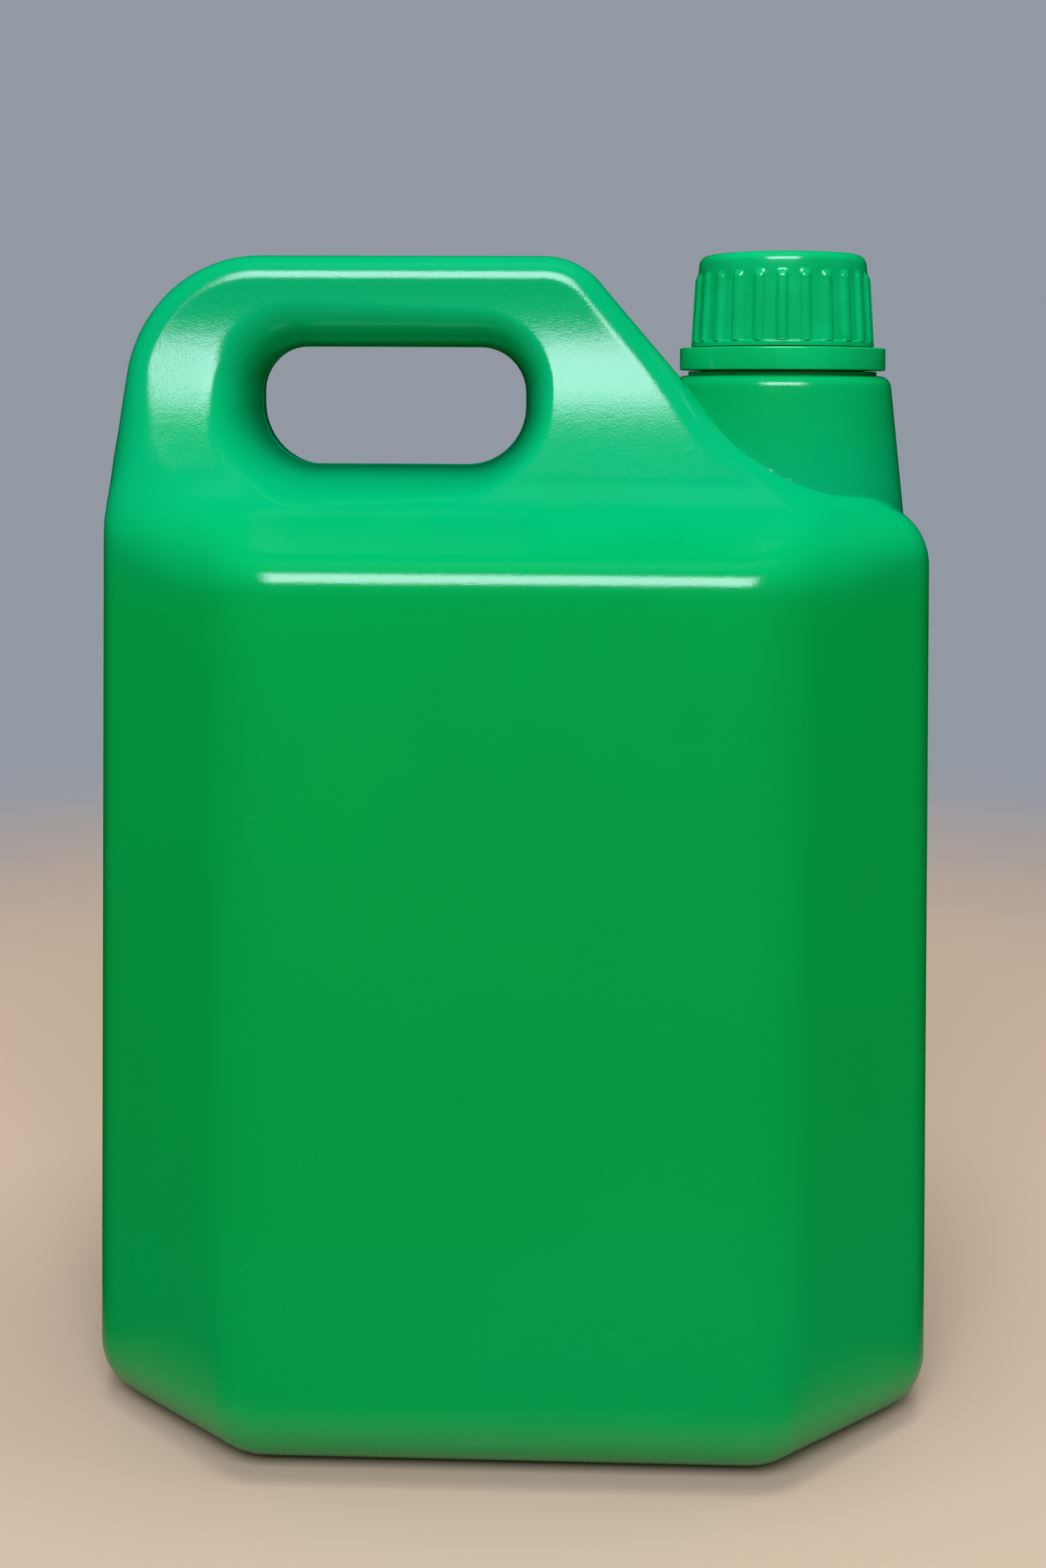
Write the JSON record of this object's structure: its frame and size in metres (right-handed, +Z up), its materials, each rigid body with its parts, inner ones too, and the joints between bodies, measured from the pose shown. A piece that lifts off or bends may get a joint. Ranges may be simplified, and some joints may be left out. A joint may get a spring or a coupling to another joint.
{
  "type": "plastic jerrycan",
  "caption": "Blow-moulded plastic jerrycan with chamfered corners, a sloping roof, a hollow through-handle and an offset neck closed by a ribbed screw cap above a tamper band.",
  "frame": {"origin": "middle of the base, on the surface that the can stands on", "axes": "+Z up, +X from the handle towards the neck, the front panel faces -Y"},
  "size_m": [0.2, 0.134, 0.2806],
  "materials": {
    "canister_plastic": "green polyethylene, satin, with fine mould grain",
    "cap_plastic": "green polyethylene, smooth injection-moulded gloss",
    "band_plastic": "green polyethylene, smooth injection-moulded gloss",
    "liner_foam": "off-white closed-cell foam"
  },
  "bodies": {
    "canister": {"canister": "canister_plastic"},
    "liner": {"cap_liner": "liner_foam"},
    "cap": {"screw_cap": "cap_plastic"},
    "band": {"tamper_band": "band_plastic"}
  },
  "joints": [
    {"name": "cap_lift", "type": "slide", "parent": "canister", "child": "liner", "axis": [0, 0, 1], "range_m": [0, 0.008]},
    {"name": "cap_turn", "type": "hinge", "parent": "liner", "child": "cap", "pos_m": [0.0681, 0, 0.265], "axis": [0, 0, 1], "range_deg": [0, 720]},
    {"name": "band_spin", "type": "hinge", "parent": "canister", "child": "band", "pos_m": [0.0681, 0, 0.2543], "axis": [0, 0, 1], "continuous": true}
  ],
  "couplings": [
    {"joint": "cap_lift", "follows": "cap_turn", "m_per_rad": 0.00063661}
  ]
}
